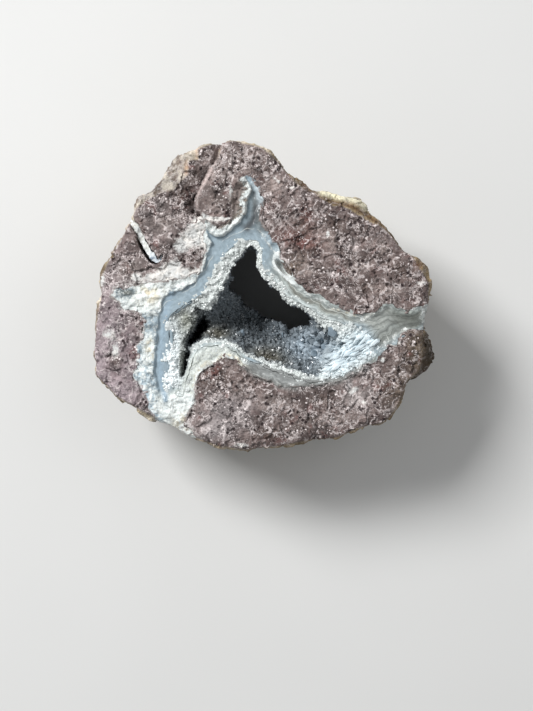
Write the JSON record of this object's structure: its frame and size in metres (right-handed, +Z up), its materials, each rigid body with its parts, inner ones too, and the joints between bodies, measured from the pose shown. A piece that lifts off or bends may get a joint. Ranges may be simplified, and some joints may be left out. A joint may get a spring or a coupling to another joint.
{
  "type": "geode half",
  "caption": "Half of a cracked volcanic geode lying on its rounded back, with a banded chalcedony lining and a quartz-lined cavity that breaks through the back.",
  "frame": {"origin": "under the middle of the stone's box, on the surface that it lies on", "axes": "+Z up, out of the broken face; +X along the longest side of the face, towards the seam that runs out of its right edge"},
  "size_m": [0.1024, 0.0928, 0.0474],
  "materials": {
    "rock": "rough broken rhyolite, speckled with pits and pale grains, weathered cream and olive on its rind",
    "chalcedony": "waxy translucent blue-grey bands with a chalky white to cream outer crust",
    "white_vein": "dull white, slightly sugary",
    "druse": "glittering crust of small glassy crystals",
    "quartz_crystal": "glassy, smoky blue-grey"
  },
  "bodies": {
    "root": {"host_rock": "rock", "chalcedony_lining": "chalcedony", "crack_vein": "white_vein", "quartz_druse": "druse", "large_crystal_1": "quartz_crystal", "large_crystal_2": "quartz_crystal", "large_crystal_3": "quartz_crystal", "large_crystal_4": "quartz_crystal", "large_crystal_5": "quartz_crystal", "large_crystal_6": "quartz_crystal", "large_crystal_7": "quartz_crystal", "large_crystal_8": "quartz_crystal"}
  },
  "joints": []
}
